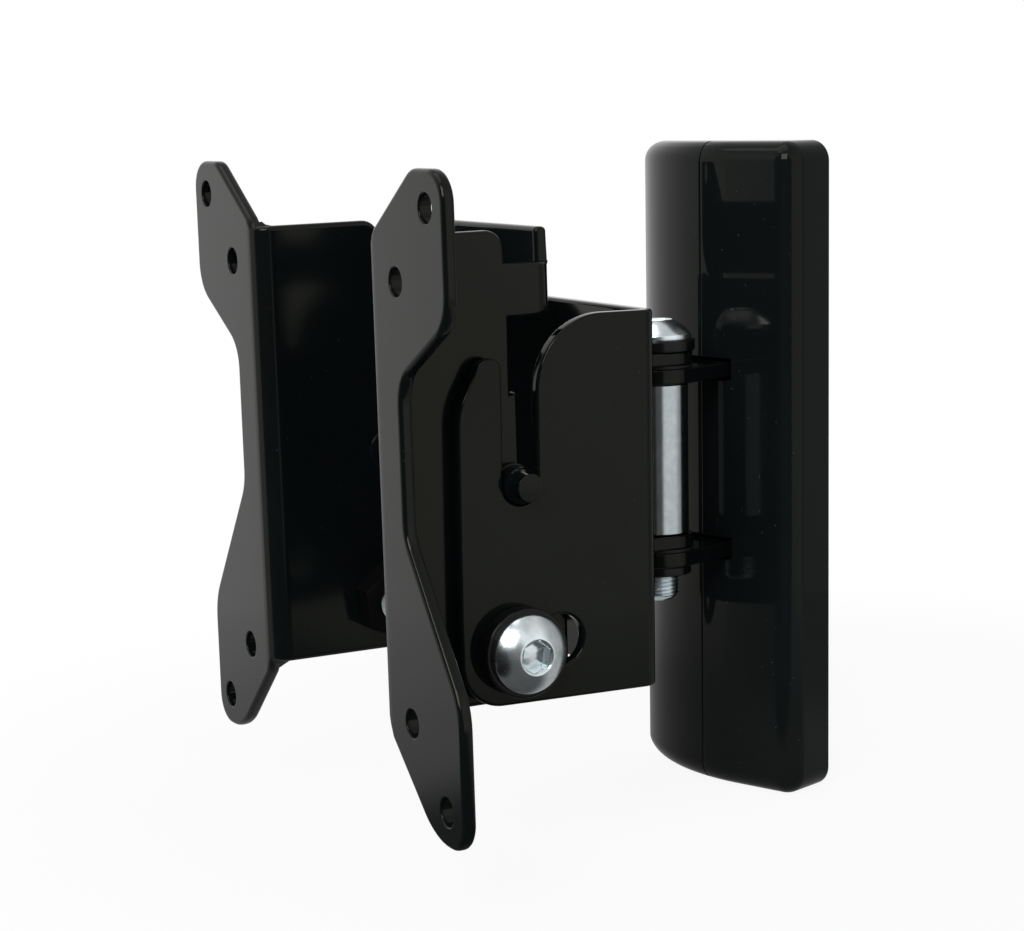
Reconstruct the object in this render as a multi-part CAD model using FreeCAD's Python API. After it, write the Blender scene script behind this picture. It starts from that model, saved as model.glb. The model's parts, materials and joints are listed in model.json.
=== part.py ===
import FreeCAD, Part
import math
import os

# Tilt and swivel wall mount for a small screen.
# A folded screen bracket hooks on two studs into a folded swivel bracket, and two clamp bolts
# in curved slots lock its tilt. A yoke behind the swivel bracket turns on an upright bolt in a
# second yoke on the wall plate. A two piece cover hides the wall plate.
#
# Frame: X to the right seen from the front, Y into the wall, Z up, origin at the centre of the
# wall plate's back. All sizes are in millimetres and all angles in degrees.

V = FreeCAD.Vector

# Pose: the swivel bracket and the screen bracket stand turned and tilted like this
SWIVEL_REST = -22.0
TILT_REST = 1.0

# Sheet metal
SHEET = 2.5
BEND_INSIDE = 1.5
TIGHT_BEND_INSIDE = 0.6

# Clearances
RUN_GAP = 0.05
BORE_GAP = 0.08
BOLT_GAP = 0.25
SLOT_GAP = 0.5
SEAM_GAP = 0.2

# Screen bracket: hole squares, lobes and waist of the flanges
HOLES_WIDE = 100.0
HOLES_NARROW = 75.0
SCREEN_HOLE = 5.0
LOBE_EDGE = 6.5
LOBE_END = 6.3
LOBE_ROUND = 5.5
LOBE_INNER_TOP = 5.8
LOBE_INNER_TOP_ROUND = 5.0
LOBE_FOOT_TOP = 46.2
LOBE_INNER_BOTTOM = 5.1
LOBE_INNER_BOTTOM_ROUND = 14.0
LOBE_FOOT_BOTTOM = -41.9
WAIST = 37.3
WAIST_TOP = 20.8
WAIST_BOTTOM = -5.6
WAIST_ROUND = 3.0
SHOULDER_TOP = 31.5
SHOULDER_BOTTOM = -31.3
SHOULDER_ROUND = 5.5

# Screen bracket: channel walls and the cross web at the top
CHANNEL_INSIDE = 50.0
PIVOT_DEPTH = 25.5
WALL_TOP = 44.4
WALL_BOTTOM = -39.1
WALL_TOP_BACK = -0.1
WALL_TOP_ROUND = 3.2
WALL_MID_BACK = 0.5
WALL_PIVOT_BACK = 1.9
WALL_STEP = 16.0
WALL_FLARE = 3.5
WALL_LOW_BACK = 10.5
WALL_LOW_ROUND = 5.0
WEB_BACK = 9.8
WEB_TAB_TOP = 38.4
WEB_TAB_BOTTOM = 29.0

# Pivot studs
STUD = 6.6
STUD_REACH = 3.9
STUD_CHAMFER = 0.7
STUD_SHOULDER = 7.4
STUD_TAIL = 5.0
STUD_RIVET = 8.0
STUD_RIVET_HIGH = 1.2

# Tilt lock
SIDE_GAP = 1.0
CLAMP_DROP = 29.1
CLAMP_AHEAD = 1.5
CLAMP_THREAD = 8.0
CLAMP_HEAD = 14.0
CLAMP_HEAD_HIGH = 4.4
CLAMP_HEAD_RIM = 1.0
CLAMP_SOCKET = 5.0
CLAMP_SOCKET_DEEP = 2.8
CLAMP_TIP = 1.5
CLAMP_WASHER = 16.0
CLAMP_WASHER_THICK = 3.4
CLAMP_NUT = 13.0
CLAMP_NUT_HIGH = 6.5
TILT_BACK = 5.0
TILT_FORWARD = 18.0

# Swivel bracket, measured from the pivot
BRACKET_FRONT = 12.0
BRACKET_BACK = 28.0
BRACKET_TOP = 29.4
BRACKET_BOTTOM = 38.9
EAR_SHOULDER = 13.9
EAR_SHOULDER_ROUND = 14.0
EAR_TOP = 22.5
EAR_TIP = 7.4
EAR_TIP_ROUND = 3.2
EAR_INNER_ROUND = 2.0
HOOK_ROUND = 13.2
FRONT_ROUND = 8.0

# Swivel stack, from the screw head down
PIN_BEHIND_PIVOT = 45.5
SWIVEL_THREAD = 8.0
SWIVEL_HEAD = 13.6
SWIVEL_HEAD_HIGH = 4.4
SWIVEL_HEAD_RIM = 0.9
SWIVEL_SOCKET = 5.0
SWIVEL_SOCKET_DEEP = 2.6
SWIVEL_WASHER = 15.0
SWIVEL_WASHER_THICK = 2.2
FRICTION_WASHER = 14.0
FRICTION_WASHER_THICK = 0.6
YOKE_WIDE = 14.0
SLEEVE = 12.2
SLEEVE_WALL = 1.9
SLEEVE_LONG = 29.2
SLEEVE_TOP = 12.5
SWIVEL_NUT = 13.0
SWIVEL_NUT_COLLAR = 10.5
SWIVEL_NUT_HIGH = 1.7
THREAD_END = 5.1

# Wall plate and its yoke
PIVOT_RISE = 5.7
PLATE_MARGIN = 4.2
PLATE_THICK = 3.0
PLATE_ROUND = 4.0
WALL_YOKE_THICK = 3.0
SCREW_HOLE = 6.0
SCREWS_ACROSS = 20.0
SCREWS_UP = 92.0

# Cover over the wall plate
COVER_RIGHT = 22.2
COVER_LEFT = 22.7
COVER_HIGH = 127.6
COVER_DEEP = 12.9
COVER_WALL = 2.0
COVER_EDGE = 4.0
COVER_CORNER = 4.2
COVER_ROUND_START = 7.0
COVER_LIFT = 0.3
COVER_SLOT_GAP = 0.6
PIN_TO_COVER = 13.7
LUG_HIGH = 14.0
LUG_SPACING = 80.0

# Points closer than this are one point
TOUCH = 1e-6

# Places that follow from the sizes
wall_in = CHANNEL_INSIDE / 2
wall_out = wall_in + SHEET
arm_in = wall_out + SIDE_GAP
arm_out = arm_in + SHEET
face_y = -PIVOT_DEPTH
bend_outside = BEND_INSIDE + SHEET
flange_edge = HOLES_WIDE / 2 + LOBE_EDGE
flange_end = HOLES_WIDE / 2 + LOBE_END
tight_bend_outside = TIGHT_BEND_INSIDE + SHEET
hook_half = STUD / 2 + BORE_GAP
slot_half = CLAMP_THREAD / 2 + SLOT_GAP
clamp_reach = math.hypot(CLAMP_DROP, CLAMP_AHEAD)
clamp_turn = math.degrees(math.atan2(-CLAMP_AHEAD, CLAMP_DROP))
plate_wide = 2 * (COVER_RIGHT - COVER_WALL - PLATE_MARGIN)
plate_high = COVER_HIGH - 2 * (COVER_WALL + PLATE_MARGIN)
pin_y = -(COVER_DEEP + PIN_TO_COVER)
cover_rise = COVER_DEEP - COVER_LIFT
cover_reach = COVER_LEFT + COVER_ROUND_START
cover_round = (cover_reach ** 2 + cover_rise ** 2) / (2 * cover_rise)
screw_r = SWIVEL_THREAD / 2
yoke_r = YOKE_WIDE / 2

# Levels of the swivel stack, measured from the pivot
sleeve_low = SLEEVE_TOP - SLEEVE_LONG
tab_high = SLEEVE_TOP + WALL_YOKE_THICK
ear_high_low = tab_high + FRICTION_WASHER_THICK + RUN_GAP
ear_high_top = ear_high_low + SHEET
washer_low = ear_high_top + RUN_GAP
head_low = washer_low + SWIVEL_WASHER_THICK
ear_low_top = sleeve_low - RUN_GAP
ear_low_low = ear_low_top - SHEET
tab_low_top = ear_low_low - RUN_GAP - FRICTION_WASHER_THICK
tab_low_low = tab_low_top - WALL_YOKE_THICK
nut_low = tab_low_low - SWIVEL_NUT_HIGH
thread_low = nut_low - THREAD_END


# Outlines and solids

def on_xy(u, v):
    """Places an outline's point in the XY plane."""
    return V(u, v, 0)


def on_xz(u, v):
    """Places an outline's point in the XZ plane."""
    return V(u, 0, v)


def on_yz(u, v):
    """Places an outline's point in the YZ plane."""
    return V(0, u, v)


def outline(corners, plane):
    """Closed wire through corners (u, v) or (u, v, radius), each rounded by a tangent arc."""
    points = [plane(*corner[:2]) for corner in corners]
    radii = [corner[2] if len(corner) > 2 else 0.0 for corner in corners]
    count = len(corners)
    starts, ends, arcs = [], [], []
    for i in range(count):
        corner = points[i]
        to_last = (points[i - 1] - corner).normalize()
        to_next = (points[(i + 1) % count] - corner).normalize()
        if radii[i] == 0:
            starts.append(corner)
            ends.append(corner)
            arcs.append(None)
            continue
        half = to_last.getAngle(to_next) / 2
        reach = radii[i] / math.tan(half)
        centre_way = (to_last + to_next).normalize()
        middle = corner + centre_way * (radii[i] / math.sin(half) - radii[i])
        starts.append(corner + to_last * reach)
        ends.append(corner + to_next * reach)
        arcs.append(middle)
    edges = []
    for i in range(count):
        if arcs[i]:
            edges.append(Part.Arc(starts[i], arcs[i], ends[i]).toShape())
        run_end = starts[(i + 1) % count]
        if (run_end - ends[i]).Length > TOUCH:
            edges.append(Part.LineSegment(ends[i], run_end).toShape())
    return Part.Wire(edges)


def prism(corners, plane, low, high):
    """Solid of an outline, between two places along the direction square to its plane."""
    way = plane(1, 0).cross(plane(0, 1))
    way = V(abs(way.x), abs(way.y), abs(way.z))
    face = Part.Face(outline(corners, plane))
    face.translate(way * low)
    return face.extrude(way * (high - low))


def box(x, y, z):
    """Block between three pairs of limits."""
    return Part.makeBox(x[1] - x[0], y[1] - y[0], z[1] - z[0], V(x[0], y[0], z[0]))


def rod(radius, start, end):
    """Round bar from one point to another."""
    way = end - start
    return Part.makeCylinder(radius, way.Length, start, way)


def ring(radius, bore, start, end):
    """Round bar with a bore."""
    return rod(radius, start, end).cut(rod(bore, start, end))


def hexagon(across_flats, start, end):
    """Six sided bar from one point to another, along X or Z."""
    corner = across_flats / math.sqrt(3)
    plane = on_yz if abs(end.x - start.x) > 0 else on_xy
    turns = [math.radians(60 * i) for i in range(6)]
    corners = [(corner * math.cos(a), corner * math.sin(a)) for a in turns]
    face = Part.Face(outline(corners, plane))
    face.translate(start)
    return face.extrude(end - start)


def turned(profile):
    """Solid turned about the X axis from (place, radius) corners, closed along the axis."""
    face = Part.Face(outline(profile, on_xy))
    return face.revolve(V(0, 0, 0), V(1, 0, 0), 360)


def button_head(width, high, rim):
    """Domed screw head that stands on X = 0 and rises along X."""
    half = width / 2
    rise = high - rim
    ball = (half ** 2 + rise ** 2) / (2 * rise)
    barrel = rod(half, V(0, 0, 0), V(high, 0, 0))
    return barrel.common(Part.makeSphere(ball, V(high - ball, 0, 0)))


def mirrored(shape):
    """The same piece on the other side of the mount's middle plane."""
    return shape.mirror(V(0, 0, 0), V(1, 0, 0))


# Screen bracket, drawn about the pivot

def flange_corners():
    """Outline of the right flange: a lobe around the holes at each end and a waist between."""
    fold_end = wall_in + bend_outside
    return [
        (wall_in, WALL_BOTTOM),
        (wall_out, WALL_BOTTOM),
        (fold_end, LOBE_FOOT_BOTTOM),
        (HOLES_WIDE / 2 - LOBE_INNER_BOTTOM, -flange_end, LOBE_INNER_BOTTOM_ROUND),
        (flange_edge, -flange_end, LOBE_ROUND),
        (flange_edge, SHOULDER_BOTTOM, SHOULDER_ROUND),
        (WAIST, WAIST_BOTTOM, WAIST_ROUND),
        (WAIST, WAIST_TOP, WAIST_ROUND),
        (flange_edge, SHOULDER_TOP, SHOULDER_ROUND),
        (flange_edge, flange_end, LOBE_ROUND),
        (HOLES_WIDE / 2 - LOBE_INNER_TOP, flange_end, LOBE_INNER_TOP_ROUND),
        (fold_end, LOBE_FOOT_TOP),
        (wall_out, WALL_TOP),
        (wall_in, WALL_TOP),
    ]


def wall_corners():
    """Outline of a channel wall: notched behind the top, narrow at the pivot, deep at the clamp."""
    slope = WALL_LOW_BACK - WALL_PIVOT_BACK
    return [
        (face_y + bend_outside, WALL_BOTTOM),
        (WALL_LOW_BACK, WALL_BOTTOM, WALL_LOW_ROUND),
        (WALL_LOW_BACK, WALL_FLARE - slope, WALL_LOW_ROUND),
        (WALL_PIVOT_BACK, WALL_FLARE),
        (WALL_PIVOT_BACK, WALL_STEP),
        (WALL_MID_BACK, WALL_STEP),
        (WALL_MID_BACK, WEB_TAB_TOP),
        (WALL_TOP_BACK, WEB_TAB_TOP),
        (WALL_TOP_BACK, WALL_TOP, WALL_TOP_ROUND),
        (face_y + bend_outside, WALL_TOP),
    ]


def screen_bracket():
    """One folded sheet: two flanges for the screen, two channel walls and a web across the top."""
    angle = [
        (wall_in, face_y, bend_outside),
        (flange_edge, face_y),
        (flange_edge, face_y + SHEET),
        (wall_out, face_y + SHEET, BEND_INSIDE),
        (wall_out, face_y + bend_outside),
        (wall_in, face_y + bend_outside),
    ]
    fold = prism(angle, on_xy, -flange_end, flange_end)
    flange = fold.common(prism(flange_corners(), on_xz, face_y, face_y + bend_outside))
    for square in (HOLES_WIDE, HOLES_NARROW):
        for side in (-1, 1):
            spot = V(square / 2, face_y, side * square / 2)
            flange = flange.cut(rod(SCREEN_HOLE / 2, spot, spot + V(0, SHEET, 0)))
    wall = prism(wall_corners(), on_yz, wall_in, wall_out)
    wall = wall.cut(rod(STUD_TAIL / 2 + RUN_GAP, V(wall_in, 0, 0), V(wall_out, 0, 0)))
    wall = wall.cut(rod(CLAMP_THREAD / 2 + BOLT_GAP, clamp_place(wall_in), clamp_place(wall_out)))
    half = flange.fuse(wall)
    cross = [
        (wall_out, WALL_TOP_BACK),
        (wall_out, WEB_BACK, bend_outside),
        (-wall_out, WEB_BACK, bend_outside),
        (-wall_out, WALL_TOP_BACK),
        (-wall_in, WALL_TOP_BACK),
        (-wall_in, WEB_BACK - SHEET, BEND_INSIDE),
        (wall_in, WEB_BACK - SHEET, BEND_INSIDE),
        (wall_in, WALL_TOP_BACK),
    ]
    web = prism(cross, on_xy, WEB_TAB_BOTTOM, WEB_TAB_TOP)
    strip = box((-wall_in, wall_in), (WEB_BACK - SHEET, WEB_BACK), (WEB_TAB_TOP, WALL_TOP))
    return half.fuse([mirrored(half), web, strip]).removeSplitter()


def pivot_stud():
    """Turned stud riveted into the right channel wall, with a shoulder that spaces the walls."""
    shoulder_end = arm_in - RUN_GAP
    tip = arm_out + STUD_REACH
    profile = [
        (wall_in - STUD_RIVET_HIGH, 0),
        (wall_in - STUD_RIVET_HIGH, STUD_RIVET / 2, STUD_RIVET_HIGH / 2),
        (wall_in, STUD_RIVET / 2),
        (wall_in, STUD_TAIL / 2),
        (wall_out, STUD_TAIL / 2),
        (wall_out, STUD_SHOULDER / 2),
        (shoulder_end, STUD_SHOULDER / 2),
        (shoulder_end, STUD / 2),
        (tip - STUD_CHAMFER, STUD / 2),
        (tip, STUD / 2 - STUD_CHAMFER),
        (tip, 0),
    ]
    return turned(profile)


# Tilt lock, drawn about the pivot

def clamp_place(x):
    """Point on the right clamp bolt's axis."""
    return V(x, -CLAMP_AHEAD, -CLAMP_DROP)


def clamp_bolt():
    """Button head screw that squeezes the swivel bracket's arm against the channel wall."""
    seat = arm_out + RUN_GAP + CLAMP_WASHER_THICK
    tip = wall_in - CLAMP_NUT_HIGH - CLAMP_TIP
    head = button_head(CLAMP_HEAD, CLAMP_HEAD_HIGH, CLAMP_HEAD_RIM)
    socket_floor = CLAMP_HEAD_HIGH - CLAMP_SOCKET_DEEP
    head = head.cut(hexagon(CLAMP_SOCKET, V(socket_floor, 0, 0), V(CLAMP_HEAD_HIGH, 0, 0)))
    head.translate(clamp_place(seat))
    return head.fuse(rod(CLAMP_THREAD / 2, clamp_place(tip), clamp_place(seat))).removeSplitter()


def clamp_washer():
    """Thick washer under the clamp bolt's head, wider than the curved slot."""
    start = arm_out + RUN_GAP
    end = start + CLAMP_WASHER_THICK
    bore = CLAMP_THREAD / 2 + BOLT_GAP
    return ring(CLAMP_WASHER / 2, bore, clamp_place(start), clamp_place(end))


def tilt_washer():
    """Thin washer between the channel wall and the swivel bracket's arm."""
    bore = CLAMP_THREAD / 2 + BOLT_GAP
    return ring(CLAMP_WASHER / 2, bore, clamp_place(wall_out), clamp_place(arm_in - RUN_GAP))


def clamp_nut():
    """Hexagon nut fixed to the inside of the channel wall."""
    start = clamp_place(wall_in - CLAMP_NUT_HIGH)
    end = clamp_place(wall_in)
    return hexagon(CLAMP_NUT, start, end).cut(rod(CLAMP_THREAD / 2 + RUN_GAP, start, end))


# Swivel bracket, drawn about the pivot

def arm_corners():
    """Side outline of the swivel bracket: open topped hook for the stud and a short front ear."""
    return [
        (-BRACKET_FRONT, -BRACKET_BOTTOM, FRONT_ROUND),
        (BRACKET_BACK, -BRACKET_BOTTOM),
        (BRACKET_BACK, BRACKET_TOP),
        (hook_half, BRACKET_TOP, HOOK_ROUND),
        (hook_half, -hook_half, hook_half),
        (-hook_half, -hook_half, hook_half),
        (-hook_half, EAR_TOP, EAR_INNER_ROUND),
        (-EAR_TIP, EAR_TOP, EAR_TIP_ROUND),
        (-BRACKET_FRONT, EAR_SHOULDER, EAR_SHOULDER_ROUND),
    ]


def tilt_slot():
    """Curved slot about the pivot, as long as the clamp bolt travels in the tilt range."""
    inner = clamp_reach - slot_half
    outer = clamp_reach + slot_half
    start = V(-arm_out, 0, 0)
    along = V(2 * arm_out, 0, 0)

    def at(radius, tilt):
        turn = math.radians(clamp_turn + tilt)
        return start + V(0, radius * math.sin(turn), -radius * math.cos(turn))

    middle = (TILT_FORWARD - TILT_BACK) / 2
    edges = []
    for radius in (inner, outer):
        points = [at(radius, tilt) for tilt in (-TILT_BACK, middle, TILT_FORWARD)]
        edges.append(Part.Arc(*points).toShape())
    for tilt in (-TILT_BACK, TILT_FORWARD):
        edges.append(Part.LineSegment(at(inner, tilt), at(outer, tilt)).toShape())
    slot = Part.Face(Part.Wire(Part.__sortEdges__(edges))).extrude(along)
    for tilt in (-TILT_BACK, TILT_FORWARD):
        end = at(clamp_reach, tilt)
        slot = slot.fuse(rod(slot_half, end, end + along))
    return slot


def swivel_bracket():
    """One folded sheet: a web at the back and two arms that carry the screen bracket."""
    section = [
        (arm_out, -BRACKET_FRONT),
        (arm_out, BRACKET_BACK, tight_bend_outside),
        (-arm_out, BRACKET_BACK, tight_bend_outside),
        (-arm_out, -BRACKET_FRONT),
        (-arm_in, -BRACKET_FRONT),
        (-arm_in, BRACKET_BACK - SHEET, TIGHT_BEND_INSIDE),
        (arm_in, BRACKET_BACK - SHEET, TIGHT_BEND_INSIDE),
        (arm_in, -BRACKET_FRONT),
    ]
    fold = prism(section, on_xy, -BRACKET_BOTTOM, BRACKET_TOP)
    fold = fold.common(prism(arm_corners(), on_yz, -arm_out, arm_out))
    return fold.cut(tilt_slot()).removeSplitter()


# Yokes and the swivel stack, drawn about the pivot's height

def yoke(base, pin, ears, thick, bores):
    """Folded strip: a base at one Y place and two round ended ears that reach to the pin."""
    inner = base + math.copysign(thick, pin - base)
    (low_bottom, low_top), (high_bottom, high_top) = ears
    section = [
        (base, low_bottom, BEND_INSIDE + thick),
        (pin, low_bottom),
        (pin, low_top),
        (inner, low_top, BEND_INSIDE),
        (inner, high_bottom, BEND_INSIDE),
        (pin, high_bottom),
        (pin, high_top),
        (base, high_top, BEND_INSIDE + thick),
    ]
    strip = prism(section, on_yz, -yoke_r, yoke_r)
    for bottom, top in ears:
        strip = strip.fuse(rod(yoke_r, V(0, pin, bottom), V(0, pin, top)))
    for radius, (bottom, top) in zip(bores, ears):
        strip = strip.cut(rod(radius, V(0, pin, bottom), V(0, pin, top)))
    return strip.removeSplitter()


def swivel_yoke():
    """Yoke welded to the back of the swivel bracket: its ears turn on the swivel bolt."""
    ears = ((ear_low_low, ear_low_top), (ear_high_low, ear_high_top))
    bore = screw_r + BORE_GAP
    return yoke(BRACKET_BACK, PIN_BEHIND_PIVOT, ears, SHEET, (bore, bore))


def wall_yoke():
    """Yoke welded to the front of the wall plate: its ears hold the swivel bolt upright."""
    ears = ((tab_low_low, tab_low_top), (SLEEVE_TOP, tab_high))
    bores = (SWIVEL_NUT_COLLAR / 2 + RUN_GAP, screw_r + BOLT_GAP)
    return yoke(-PLATE_THICK, pin_y, ears, WALL_YOKE_THICK, bores)


def pin_place(level):
    """Point on the swivel axis at a level above the pivot."""
    return V(0, pin_y, level)


def swivel_bolt():
    """Button head screw that stands upright through both yokes."""
    head = button_head(SWIVEL_HEAD, SWIVEL_HEAD_HIGH, SWIVEL_HEAD_RIM)
    socket_floor = SWIVEL_HEAD_HIGH - SWIVEL_SOCKET_DEEP
    head = head.cut(hexagon(SWIVEL_SOCKET, V(socket_floor, 0, 0), V(SWIVEL_HEAD_HIGH, 0, 0)))
    head.rotate(V(0, 0, 0), V(0, 1, 0), -90)
    head.translate(pin_place(head_low))
    return head.fuse(rod(screw_r, pin_place(thread_low), pin_place(head_low))).removeSplitter()


def swivel_ring(width, low, high):
    """Washer or sleeve on the swivel bolt."""
    return ring(width / 2, screw_r + BOLT_GAP, pin_place(low), pin_place(high))


def swivel_sleeve():
    """Plated spacer tube between the wall yoke's upper ear and the swivel yoke's lower ear."""
    outer = SLEEVE / 2
    return ring(outer, outer - SLEEVE_WALL, pin_place(sleeve_low), pin_place(SLEEVE_TOP))


def swivel_nut():
    """Round nut pressed into the wall yoke's lower ear from below."""
    flange = rod(SWIVEL_NUT / 2, pin_place(nut_low), pin_place(tab_low_low))
    collar = rod(SWIVEL_NUT_COLLAR / 2, pin_place(tab_low_low), pin_place(tab_low_top))
    thread = rod(screw_r + RUN_GAP, pin_place(nut_low), pin_place(tab_low_top))
    return flange.fuse(collar).cut(thread).removeSplitter()


# Wall plate and cover, drawn about the plate's middle

def wall_plate():
    """Flat steel plate with four screw holes."""
    half_wide = plate_wide / 2
    half_high = plate_high / 2
    around = ((-1, -1), (1, -1), (1, 1), (-1, 1))
    corners = [(sx * half_wide, sz * half_high, PLATE_ROUND) for sx, sz in around]
    plate = prism(corners, on_xz, -PLATE_THICK, 0)
    for sx in (-1, 1):
        for sz in (-1, 1):
            spot = V(sx * SCREWS_ACROSS / 2, -PLATE_THICK, sz * SCREWS_UP / 2)
            plate = plate.cut(rod(SCREW_HOLE / 2, spot, spot + V(0, PLATE_THICK, 0)))
    return plate


def rounded_ends(shape, radius):
    """Rounds the front and side edges of the cover's two ends."""
    ends = []
    for edge in shape.Edges:
        middle = edge.valueAt((edge.FirstParameter + edge.LastParameter) / 2)
        level = edge.BoundBox.ZLength < TOUCH
        at_wall = abs(middle.y + COVER_LIFT) < TOUCH
        if level and not at_wall:
            ends.append(edge)
    return shape.makeFillet(radius, ends)


def cover_form(inset):
    """Form of the whole cover, drawn in by the wall's thickness for its inside.

    The front is flat on the right and runs into one large round that ends at the wall on the left.
    """
    side = COVER_RIGHT - inset
    front = -COVER_DEEP + inset
    high = COVER_HIGH / 2 - inset
    corner = COVER_CORNER - inset
    radius = cover_round - inset
    centre = V(COVER_ROUND_START, -COVER_DEEP + cover_round, 0)
    reach = math.sqrt(radius ** 2 - (centre.y + COVER_LIFT) ** 2)
    start = V(centre.x, front, 0)
    end = V(centre.x - reach, -COVER_LIFT, 0)
    half_turn = V(0, -1, 0).getAngle(end - centre) / 2
    middle = centre + V(-math.sin(half_turn), -math.cos(half_turn), 0) * radius
    corner_centre = V(side - corner, front + corner, 0)
    corner_middle = corner_centre + V(1, -1, 0).normalize() * corner
    corner_front = V(side - corner, front, 0)
    corner_side = V(side, front + corner, 0)
    wall_side = V(side, -COVER_LIFT, 0)
    edges = [
        Part.Arc(end, middle, start).toShape(),
        Part.LineSegment(start, corner_front).toShape(),
        Part.Arc(corner_front, corner_middle, corner_side).toShape(),
        Part.LineSegment(corner_side, wall_side).toShape(),
        Part.LineSegment(wall_side, end).toShape(),
    ]
    face = Part.Face(Part.Wire(edges))
    face.translate(V(0, 0, -high))
    return rounded_ends(face.extrude(V(0, 0, 2 * high)), COVER_EDGE - inset)


def cover_half(side):
    """Moulded shell of one cover half, with lugs that grip the plate and notches for the yoke."""
    outside = cover_form(0)
    shell = outside.cut(cover_form(COVER_WALL))
    edge = plate_wide / 2 + RUN_GAP
    for sz in (-1, 1):
        middle = sz * LUG_SPACING / 2
        limits = sorted((side * edge, side * COVER_LEFT))
        lug = box(limits, (-PLATE_THICK, -COVER_LIFT), (middle - LUG_HIGH / 2, middle + LUG_HIGH / 2))
        shell = shell.fuse(lug.common(outside))
    reach = yoke_r + COVER_SLOT_GAP
    for low, high in ((tab_low_low, tab_low_top), (SLEEVE_TOP, tab_high)):
        levels = (low + PIVOT_RISE - COVER_SLOT_GAP, high + PIVOT_RISE + COVER_SLOT_GAP)
        shell = shell.cut(box((-reach, reach), (-COVER_DEEP, -PLATE_THICK), levels))
    limits = sorted((side * SEAM_GAP / 2, side * COVER_LEFT))
    half = box(limits, (-COVER_DEEP, 0), (-COVER_HIGH / 2, COVER_HIGH / 2))
    return shell.common(half).removeSplitter()


# Assembly

def place_on_wall(shape):
    """Lifts what is drawn about the pivot's height to its height on the wall plate."""
    shape.translate(V(0, 0, PIVOT_RISE))
    return shape


def place_on_swivel(shape):
    """Turns what is drawn about the pivot to its rest on the swivel bolt."""
    shape.translate(V(0, -PIN_BEHIND_PIVOT, 0))
    shape.rotate(V(0, 0, 0), V(0, 0, 1), SWIVEL_REST)
    shape.translate(V(0, pin_y, PIVOT_RISE))
    return shape


def place_on_screen(shape):
    """Tilts what is drawn about the pivot, then turns it with the swivel bracket."""
    shape.rotate(V(0, 0, 0), V(1, 0, 0), TILT_REST)
    return place_on_swivel(shape)


parts = {
    "wall_plate": wall_plate(),
    "wall_yoke": place_on_wall(wall_yoke()),
    "cover_left": cover_half(-1),
    "cover_right": cover_half(1),
    "swivel_bolt": place_on_wall(swivel_bolt()),
    "swivel_head_washer": place_on_wall(swivel_ring(SWIVEL_WASHER, washer_low, head_low)),
    "friction_washer_upper": place_on_wall(
        swivel_ring(FRICTION_WASHER, tab_high, tab_high + FRICTION_WASHER_THICK)),
    "friction_washer_lower": place_on_wall(
        swivel_ring(FRICTION_WASHER, tab_low_top, tab_low_top + FRICTION_WASHER_THICK)),
    "swivel_sleeve": place_on_wall(swivel_sleeve()),
    "swivel_nut": place_on_wall(swivel_nut()),
    "swivel_bracket": place_on_swivel(swivel_bracket()),
    "swivel_yoke": place_on_swivel(swivel_yoke()),
    "screen_bracket": place_on_screen(screen_bracket()),
}
for name, make in (
    ("pivot_stud", pivot_stud),
    ("clamp_bolt", clamp_bolt),
    ("clamp_washer", clamp_washer),
    ("tilt_washer", tilt_washer),
    ("clamp_nut", clamp_nut),
):
    parts[name + "_right"] = place_on_screen(make())
    parts[name + "_left"] = place_on_screen(mirrored(make()))

os.makedirs("parts", exist_ok=True)
for name, shape in parts.items():
    shape.exportStep("parts/" + name + ".step")
    print(name, "solids", len(shape.Solids), "valid", shape.isValid(), "volume", round(shape.Volume, 1))
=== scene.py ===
# %% [markdown]
# # A tilt and swivel wall mount for a small screen
# Two folded steel brackets, a swivel bolt in a plated sleeve and a split cover make this mount. The
# solids come from CAD and keep their places. Blender adds what a punched, coated and plated part has
# in the hand: eased edges, real threads, hexagon sockets and finishes that catch the light.

# %% Load the frame
import json
import math

import bmesh
import bpy
from mathutils import Matrix, Vector
from mathutils.bvhtree import BVHTree
from mathutils.kdtree import KDTree


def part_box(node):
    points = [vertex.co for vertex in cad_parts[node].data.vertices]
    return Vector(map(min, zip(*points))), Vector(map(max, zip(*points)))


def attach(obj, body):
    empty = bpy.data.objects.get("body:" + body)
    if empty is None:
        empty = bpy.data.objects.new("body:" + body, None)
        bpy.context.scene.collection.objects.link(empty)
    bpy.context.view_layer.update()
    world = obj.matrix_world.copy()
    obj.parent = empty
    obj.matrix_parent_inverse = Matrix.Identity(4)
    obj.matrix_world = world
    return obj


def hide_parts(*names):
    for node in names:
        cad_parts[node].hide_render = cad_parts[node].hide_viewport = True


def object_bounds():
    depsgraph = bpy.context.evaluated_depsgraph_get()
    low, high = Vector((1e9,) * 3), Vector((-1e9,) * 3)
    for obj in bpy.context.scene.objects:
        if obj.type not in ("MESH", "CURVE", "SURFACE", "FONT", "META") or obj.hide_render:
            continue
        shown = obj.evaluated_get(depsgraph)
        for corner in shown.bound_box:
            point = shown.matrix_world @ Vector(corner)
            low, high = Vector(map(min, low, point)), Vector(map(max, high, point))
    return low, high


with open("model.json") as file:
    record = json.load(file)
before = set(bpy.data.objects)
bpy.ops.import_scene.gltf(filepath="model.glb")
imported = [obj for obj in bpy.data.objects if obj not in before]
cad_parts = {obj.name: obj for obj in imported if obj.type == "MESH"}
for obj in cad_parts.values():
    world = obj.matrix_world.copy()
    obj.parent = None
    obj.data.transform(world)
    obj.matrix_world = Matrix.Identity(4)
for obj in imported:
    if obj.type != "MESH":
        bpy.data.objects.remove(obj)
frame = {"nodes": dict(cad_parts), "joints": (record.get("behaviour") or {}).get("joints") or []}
for leftover in ("Cube", "Light", "Camera"):
    if leftover in bpy.data.objects:
        bpy.data.objects.remove(bpy.data.objects[leftover])
cad_box = [list(corner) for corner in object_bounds()]
scene = bpy.context.scene
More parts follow.
